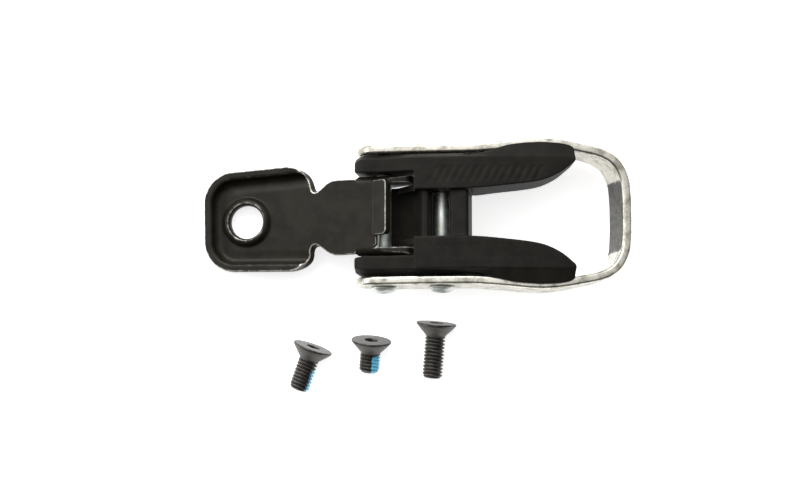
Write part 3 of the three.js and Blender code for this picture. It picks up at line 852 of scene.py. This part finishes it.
def bridge():
    start, end = BRIDGE
    top, low = INSERT_TOP - 1.1, FORK_BOTTOM + 0.4
    outline = [
        (start, low + 0.6), (start + 0.6, low), (end - 0.6, low), (end, low + 0.6),
        (end, top - 0.5), (end - 0.5, top), (start + 0.5, top), (start, top - 0.5),
    ]
    return prism_y("bridge", outline, -GUARD_HALF_WIDTH, GUARD_HALF_WIDTH)


def grip_groove(x, y, z):
    """How deep the grooves between the slanted grip ribs on the forks' tops are here."""
    from_top = abs(z - INSERT_TOP)
    beside = abs(y) - RIB_MIDDLE_Y
    slanted = x - beside * RIB_SLANT
    past_end = abs(beside) - RIB_HALF_LENGTH
    if from_top > 0.3 or not RIB_FROM < slanted < RIB_TO or past_end > RIB_FADE:
        return 0.0
    phase = abs(((slanted - RIB_FROM) / RIB_PITCH) % 1.0 - 0.5) * 2
    across = min(1.0, max(0.0, (0.62 - phase) / 0.3))
    ends = min(1.0, max(0.0, (RIB_FADE - past_end) / (2 * RIB_FADE)))
    return RIB_HEIGHT * min(across, ends)


def lever_insert():
    parts = (side_arm, fork, shoulder, cheek, pocket_corner)
    shells = [part(side) for side in (1, -1) for part in parts]
    made = moulded(joined(shells + [guard(), bridge()]), 0.17, 3)
    for vertex in made.data.vertices:
        sunk = grip_groove(*straightened(vertex.co))
        if sunk and vertex.normal.z > 0.7:
            vertex.co -= vertex.normal * sunk
    bores = [
        moved(lathe("bore", rod_profile(SLEEVE_RADIUS + BORE_GAP, ARM_HALF_WIDTH + 1), 64),
              Matrix.Translation((x, 0, 0)))
        for x in (0, catch_x)
    ]
    combined(made, "DIFFERENCE", bores)
    edge_values(made)
    return made


# ---- rivets and sleeves -------------------------------------------------------------------------


def rivet():
    """Headed at both ends: a factory dome on +Y and a rolled, hollow-centred head on -Y."""
    face = ARM_HALF_WIDTH + BAR_THICKNESS / 2 + 0.05
    r, h = RIVET_HEAD_RADIUS, RIVET_HEAD_HEIGHT
    dome = [(RIVET_SHANK, face), (r * 0.96, face), (r, face + 0.12)]
    crown = bezier([(r, 0), (r * 0.92, h * 0.62), (r * 0.5, h - 0.12), (0, h - 0.12)], 16)
    dome += [(x, face + 0.12 + y) for x, y in crown[1:]]
    rolled = [(0, h * 0.30), (r * 0.20, h * 0.32), (r * 0.32, h * 0.55), (r * 0.42, h * 0.92)]
    rolled += bezier([rolled[-1], (r * 0.52, h * 1.0), (r * 0.85, h * 0.9), (r, 0.15)], 12)[1:]
    rolled += [(r * 0.96, 0.0), (RIVET_SHANK, 0.0)]
    profile = [(x, -face - y) for x, y in rolled] + dome
    return lathe("rivet", profile, 72)


def sleeve():
    """A cut length of tube with broken edges."""
    outer, inner, end, chamfer = SLEEVE_RADIUS, RIVET_SHANK + BORE_GAP, SLEEVE_HALF_LENGTH, 0.12
    profile = [
        (inner, -end), (outer - chamfer, -end), (outer, -end + chamfer),
        (outer, end - chamfer), (outer - chamfer, end), (inner, end),
    ]
    return lathe("sleeve", profile, 72)


# ---- base plate ---------------------------------------------------------------------------------


def pad_outline(inset):
    """The pad's plan drawn in by an inset. Its straight sides run on past the neck."""
    radius = PAD_CORNER_RADIUS - inset
    left, wide = PAD_END + inset, PAD_HALF_WIDTH - inset
    flared = wide - PAD_FLARE * (left + radius)
    upper = arc(left + radius, wide - radius, radius, 90, 180, 20)
    lower = arc(left + radius, radius - wide, radius, 180, 270, 20)
    return [(0.0, -flared), (0.0, flared)] + upper + lower


def notch(curves, inset):
    """A notch's edge from the rim's end to the neck, drawn in by an inset that fades at both ends."""
    points = bezier(curves[0], 14) + bezier(curves[1], 8)[1:]
    last = len(points) - 1
    drawn = []
    for i, (x, y) in enumerate(points):
        (x0, y0), (x1, y1) = points[max(i - 1, 0)], points[min(i + 1, last)]
        length = math.dist((x0, y0), (x1, y1))
        amount = inset * min(1.0, i / 9, 0.3 + (last - i) / 6)
        drawn.append((x + (y1 - y0) / length * amount, y - (x1 - x0) / length * amount))
    return drawn


def pad_plan(inset):
    """The pad's plan inside the rim's cut corners, which are sheared at a slant."""
    wide, left = RIM_END[1] + 1, PAD_END - 1
    u, v = notch(NOTCH_U, inset), notch(NOTCH_V, inset)
    neck = NECK_X + 0.6
    near = [(left, -wide), (u[0][0], -wide)] + [(x, -y) for x, y in u] + [(neck, -NECK_HALF_WIDTH)]
    far = [(neck, NECK_HALF_WIDTH)] + list(reversed(v)) + [(v[0][0], wide), (left, wide)]
    return near + far


def pad():
    """The pressed pad, flat on z = 0: floor, upturned rim, and a raised collar round the screw hole."""
    rim_top = SHEET + RIM_HEIGHT
    turns = [math.radians(a) for a in steps(0, 80, 10)]

    def bend(radius, inset, z):
        return [(inset - radius * math.sin(a), z + radius * (1 - math.cos(a))) for a in turns]

    channel = RIM_SPREAD + 0.25
    levels = bend(BEND_INNER + SHEET, RIM_SPREAD, 0)
    levels += [(inset, rim_top - drop) for inset, drop in RIM_SECTION]
    levels += list(reversed(bend(BEND_INNER, channel, SHEET - CHANNEL_DEPTH)))
    levels += [
        (channel + CHANNEL_WIDTH * t, SHEET - CHANNEL_DEPTH + hermite(t, 0, CHANNEL_DEPTH, 0, 0))
        for t in steps(0, 1, 8)
    ][1:]
    made = loft("pad", [[(x, y, z) for x, y in pad_outline(inset)] for inset, z in levels])
    cuts = ((0.0, -1.0), (0.0, 0.0), (SHEAR, SHEET), (SHEAR + 0.2, rim_top + 2))
    plan = loft("plan", [[(x, y, z) for x, y in pad_plan(inset)] for inset, z in cuts])
    combined(made, "INTERSECT", [plan])
    top = SHEET + DIMPLE_HEIGHT
    cone = bezier([(DIMPLE_RADIUS + 0.2, SHEET - 0.05), (DIMPLE_RADIUS - 0.25, SHEET),
                   (DIMPLE_RADIUS - 0.3, top), (HOLE_RIM, top)], 14)
    collar = lathe("collar", [(0, 0.2), (DIMPLE_RADIUS + 0.2, 0.2)] + cone + [(0, top)], 96, "Z")
    hole = [
        (0, -1), (HOLE_RADIUS + DIMPLE_HEIGHT + 1, -1), (HOLE_RADIUS + 0.1, DIMPLE_HEIGHT - 0.1),
        (HOLE_RADIUS, DIMPLE_HEIGHT + 0.1), (HOLE_RADIUS + 0.1, top - 0.5), (HOLE_RIM - 0.1, top),
        (HOLE_RIM + 0.1, top + 0.3), (0, top + 0.3),
    ]
    centred = Matrix.Translation((HOLE_X, 0, 0))
    combined(made, "UNION", [moved(collar, centred)])
    combined(made, "DIFFERENCE", [moved(lathe("hole", hole, 96, "Z"), centred)])
    to_neck = Matrix.Translation((NECK_X, 0, PLATE_UNDERSIDE))
    moved(made, to_neck @ Matrix.Rotation(PAD_BEND, 4, "Y") @ Matrix.Translation((-NECK_X, 0, 0)))
    return moved(made, Matrix.Rotation(PLATE_YAW, 4, "Z"))


def web():
    """The flat stretch between the neck and the hinge."""
    waist = [(NECK_X - 0.3, NECK_HALF_WIDTH)] + bezier(
        [(NECK_X + 0.2, NECK_HALF_WIDTH), (-10.9, WEB_HALF_WIDTH - 0.9), (-10.4, WEB_HALF_WIDTH - 0.1),
         (-9.0, WEB_HALF_WIDTH)], 10)
    half = waist + [(-3.2, WEB_HALF_WIDTH), (-2.0, LUG_OUTER_Y - SHEET + 0.2)]
    tab_edges = (TAB_SHIFT + TAB_WIDTH / 2, TAB_SHIFT - TAB_WIDTH / 2)
    end = [(TAB_ROOT_X, tab_edges[0]), (TAB_ROOT_X, tab_edges[1]), (WEB_END_X, tab_edges[1]),
           (WEB_END_X, -TAB_WIDTH / 2 - 0.4)]
    outline = half + end + [(x, -y) for x, y in reversed(half)]
    made = prism_z("web", outline, PLATE_UNDERSIDE, PLATE_UNDERSIDE + SHEET)
    return moved(made, Matrix.Rotation(PLATE_YAW, 4, "Z"))


def lug(side):
    """In side view, its top runs level with the plate and its foot is round the hinge."""
    top = PLATE_UNDERSIDE + SHEET
    end_top = top - LUG_DROOP
    along, down = LUG_NOSE
    foot = arc(0, 0, LUG_DEPTH, 180, 315, 30)
    nose = bezier([(LUG_REACH, end_top - down), (LUG_REACH, end_top), (LUG_REACH - along, end_top)], 8)
    outline = [(LUG_HEEL, PLATE_UNDERSIDE)] + foot + [(LUG_REACH, -0.6)] + nose
    outline += [(-1.4, top), (LUG_HEEL, top)]
    from_y, to_y = sorted((side * (LUG_OUTER_Y - SHEET), side * LUG_OUTER_Y))
    return prism_y("lug", outline, from_y, to_y)


def lug_bend(side):
    """What is missing outside the rounded bend between the web and a lug."""
    r, top = 1.5, PLATE_UNDERSIDE + SHEET
    outer = LUG_OUTER_Y + 1
    outline = arc(LUG_OUTER_Y - r, top - r, r, 0, 90, 12)
    outline += [(LUG_OUTER_Y - r, top + 1), (outer, top + 1), (outer, top - r)]
    return prism_x("bend", [(side * y, z) for y, z in outline], -4.7, LUG_REACH + 1)


def tab():
    half, corner = TAB_WIDTH / 2, TAB_CORNER
    outline = [(-TAB_OVERLAP, -half)] + arc(TAB_LENGTH - corner, corner - half, corner, -90, 0, 8)
    outline += arc(TAB_LENGTH - corner, half - corner, corner, 0, 90, 8) + [(-TAB_OVERLAP, half)]
    made = prism_z("tab", outline, -SHEET, 0)
    root = Matrix.Translation((TAB_ROOT_X, TAB_SHIFT, PLATE_UNDERSIDE + SHEET))
    return moved(made, root @ Matrix.Rotation(-TAB_ANGLE, 4, "Y"))


def base_plate():
    flat = joined([web(), lug(1), lug(-1)])
    moulded(flat, 0.13, 0)
    combined(flat, "DIFFERENCE", [lug_bend(1), lug_bend(-1)])
    made = moulded(joined([pad(), flat, tab()]), 0.13, 3)
    bore = lathe("bore", rod_profile(SLEEVE_RADIUS + BORE_GAP, LUG_OUTER_Y + 1), 64)
    combined(made, "DIFFERENCE", [bore])
    edge_values(made)
    point_values(made, "sheared", [sheared(v.co) for v in made.data.vertices])
    return made


SHEAR_LINES = [(x, -y) for x, y in notch(NOTCH_U, SHEAR)] + notch(NOTCH_V, SHEAR)


def sheared(co):
    """1 beside the upper edge of the cut corners, where the coat is broken."""
    if not -18.6 < co.x < NECK_X + 0.4 or abs(co.y) < NECK_HALF_WIDTH - 1:
        return 0.0
    x, y, _ = Matrix.Rotation(-PLATE_YAW, 3, "Z") @ co
    off = min(math.dist((x, y), point) for point in SHEAR_LINES)
    return max(0.0, min(1.0, 1.5 - off / 0.3))


# ---- screws -------------------------------------------------------------------------------------


def hexagon(angle, flats):
    """A hexagon's radius at an angle."""
    return flats / 2 / math.cos((angle + math.pi / 6) % (math.pi / 3) - math.pi / 6)


def thread_radius(y, angle, length):
    """A helical thread with a run-out below the head and a chamfer at the tip."""
    turn = (-y / THREAD_PITCH + angle / (2 * math.pi)) % 1.0
    valley = min(1.0, max(0.0, 1.35 - abs(turn - 0.5) * 4.4))
    below_head = min(1.0, max(0.0, (-y - 2.5) / 0.5))
    crest = SCREW_RADIUS - THREAD_DEPTH * valley * below_head
    return min(crest, SCREW_RADIUS - 0.45 + max(0.0, length + y) * 0.9)


def screw_rows(length):
    """Each row is a height along the screw and a radius for every angle, from socket to tip."""
    neck = -(SCREW_HEAD_EDGE + SCREW_HEAD_RADIUS - SCREW_RADIUS)
    rows = [(-SOCKET_DEPTH - 0.5, lambda a: 0.0)]
    rows += [(-SOCKET_DEPTH, lambda a: hexagon(a, SOCKET_FLATS) * 0.97)]
    rows += [(y, lambda a: hexagon(a, SOCKET_FLATS)) for y in steps(-SOCKET_DEPTH + 0.1, -0.12, 4)]
    rows += [(-0.02, lambda a: hexagon(a, SOCKET_FLATS) + 0.1)]
    rows += [(0.0, lambda a: hexagon(a, SOCKET_FLATS) + 0.16)]
    rows += [(0.0, lambda a, r=r: r) for r in steps(1.9, SCREW_HEAD_RADIUS - 0.22, 6)]
    rim = arc(SCREW_HEAD_RADIUS - 0.14, -0.14, 0.14, 90, 0, 5)[1:]
    rows += [(y, lambda a, r=r: r) for r, y in rim]
    rows += [(-SCREW_HEAD_EDGE, lambda a: SCREW_HEAD_RADIUS)]
    cone = bezier([(SCREW_HEAD_RADIUS, -SCREW_HEAD_EDGE), (SCREW_RADIUS + 0.55, neck + 0.35),
                   (SCREW_RADIUS, neck - 0.05), (SCREW_RADIUS - 0.02, neck - 0.25)], 14)[1:]
    rows += [(y, lambda a, r=r: r) for r, y in cone]
    count = round((length + neck - 0.3) / THREAD_PITCH * 12)
    rows += [(y, lambda a, y=y: thread_radius(y, a, length)) for y in steps(neck - 0.3, -length, count)]
    rows += [(-length, lambda a: SCREW_RADIUS - 0.7), (-length, lambda a: 0.0)]
    return rows


# Where the blue thread-lock patch is: its middle angle and half width, and its ends along the screw.
PATCHES = {
    "medium": (math.radians(-8), math.radians(50), -8.6, -4.4),
    "short": (math.radians(18), math.radians(62), -6.5, -3.0),
}


def patch_value(size, angle, y):
    if size not in PATCHES:
        return 0.0
    middle, half, low, high = PATCHES[size]
    off = abs((angle - middle + math.pi) % (2 * math.pi) - math.pi)
    inside = min((half - off) / 0.5, (y - low) / 0.5 + 0.5, (high - y) / 0.7)
    return min(1.0, max(0.0, inside + 0.4))


def mounting_screw(size):
    length, head, tip = SCREWS[size]
    sides = 72
    angles = [2 * math.pi * i / sides for i in range(sides)]
    verts, faces, patch = [], [], []
    for y, radius in screw_rows(length):
        for a in angles:
            r = radius(a)
            verts.append((r * math.cos(a), y, r * math.sin(a)))
            patch.append(patch_value(size, a, y))
    for row in range(len(verts) // sides - 1):
        for i in range(sides):
            j = (i + 1) % sides
            below = (row + 1) * sides
            faces.append((row * sides + i, row * sides + j, below + j, below + i))
    mesh = bpy.data.meshes.new("screw")
    mesh.from_pydata(verts, [], faces)
    made = bpy.data.objects.new("screw", mesh)
    bpy.context.scene.collection.objects.link(made)
    point_values(made, "patch", patch)
    tidy_normals(made)
    edge_values(made, 3)
    lean = math.atan2(SCREW_HEAD_RADIUS - SCREW_RADIUS, length - 2 * SCREW_HEAD_EDGE)
    heading = math.atan2(tip[1] - head[1], tip[0] - head[0])
    moved(made, Matrix.Rotation(heading + math.pi / 2, 4, "Z") @ Matrix.Rotation(lean, 4, "X"))
    lowest = min(v.co.z for v in made.data.vertices)
    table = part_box(f"mounting_screw_{size}")[0].z / MM
    where = (hinge.x / MM + head[0], hinge.y / MM + head[1], table - lowest)
    return moved(made, Matrix.Translation(where))


# ---- the object ---------------------------------------------------------------------------------


def build_object():
    zinc_plate, oxide = zinc(), black_oxide()
    at_catch = LEVER @ Matrix.Translation((catch_x, 0, 0))
    finished(bail_frame(), "bail", "lever", "bail_frame", aluminium(), LEVER)
    finished(lever_insert(), "forked_insert", "lever", "lever_insert", nylon(), LEVER)
    finished(rivet(), "hinge_pin", "lever", "hinge_rivet", zinc_plate, LEVER)
    finished(rivet(), "catch_pin", "lever", "catch_rivet", zinc_plate, at_catch)
    finished(sleeve(), "hinge_tube", "lever", "hinge_sleeve", zinc_plate, LEVER)
    finished(sleeve(), "catch_tube", "roller", "catch_roller", zinc_plate, at_catch)
    finished(base_plate(), "pressed_plate", "plate", "base_plate", black_coat(), PLATE)
    for size in SCREWS:
        name, body, node = f"screw_{size}_threaded", f"screw_{size}", f"mounting_screw_{size}"
        finished(mounting_screw(size), name, body, node, oxide, Matrix.Scale(MM, 4))


# ---- stage --------------------------------------------------------------------------------------

VIEW_TARGET = Vector((hinge.x + 3.2 * MM, hinge.y - 6.34 * MM, 5.0 * MM))
VIEW_ELEVATION = math.radians(83)
VIEW_DISTANCE = 0.45
LENS = 101.25


def camera():
    data = bpy.data.cameras.new("camera")
    data.lens = LENS
    data.clip_start = 0.01
    made = bpy.data.objects.new("camera", data)
    bpy.context.scene.collection.objects.link(made)
    back = Vector((0, -math.cos(VIEW_ELEVATION), math.sin(VIEW_ELEVATION)))
    made.location = VIEW_TARGET + back * VIEW_DISTANCE
    made.rotation_euler = (math.pi / 2 - VIEW_ELEVATION, 0, 0)
    bpy.context.scene.camera = made


def area_light(name, place, size, power):
    data = bpy.data.lights.new(name, "AREA")
    data.shape = "RECTANGLE"
    data.size, data.size_y = size
    data.energy = power
    made = bpy.data.objects.new(name, data)
    bpy.context.scene.collection.objects.link(made)
    made.location = place
    made.rotation_euler = (Vector(place) * -1).to_track_quat("-Z", "Y").to_euler()


def floor():
    half = 1.5
    corners = [(-half, -half, 0), (half, -half, 0), (half, half, 0), (-half, half, 0)]
    made = new_object("table", corners, [(0, 1, 2, 3)])
    material, tree, shader = new_material("pale_table")
    place = object_point(tree)
    faint = noise(tree, place, 0.02, 2.0, 0.5)
    tint = mixed(tree, faint, (0.90, 0.90, 0.905, 1), (0.93, 0.93, 0.93, 1))
    link(tree, shader, colour=tint)
    shader.inputs["Roughness"].default_value = 0.9
    shader.inputs["Emission Color"].default_value = (1, 1, 1, 1)
    shader.inputs["Emission Strength"].default_value = 0.72
    made.data.materials.append(material)


def world():
    """A dim studio that brightens upwards and to the back left, over a dark horizon."""
    made = bpy.data.worlds.new("studio")
    made.use_nodes = True
    bpy.context.scene.world = made
    tree = made.node_tree
    background = next(n for n in tree.nodes if n.type == "BACKGROUND")
    way = add_node(tree, "TexCoord").outputs["Generated"]
    facing = add_node(tree, "VectorMath", {0: way, 1: (-0.20, 0.72, 0.66)}, operation="DOT_PRODUCT")
    height = add_node(tree, "SeparateXYZ", {0: way}).outputs["Z"]
    glow = spread(tree, facing.outputs["Value"], 0.10, 0.95, 0.08, 1.3)
    level = arithmetic(tree, "MULTIPLY", glow, spread(tree, height, 0.08, 0.50, 0.15, 1.0))
    grey = add_node(tree, "CombineColor", {0: level, 1: level, 2: level}).outputs[0]
    tree.links.new(grey, background.inputs["Color"])
    background.inputs["Strength"].default_value = 1.0


def stage():
    floor()
    world()
    area_light("key", (-0.25, 0.62, 0.68), (0.5, 0.5), 6.0)
    area_light("side", (-0.85, 0.10, 0.30), (0.35, 0.25), 2.2)
    bpy.context.scene.view_settings.view_transform = "Standard"


camera()
build_object()
stage()
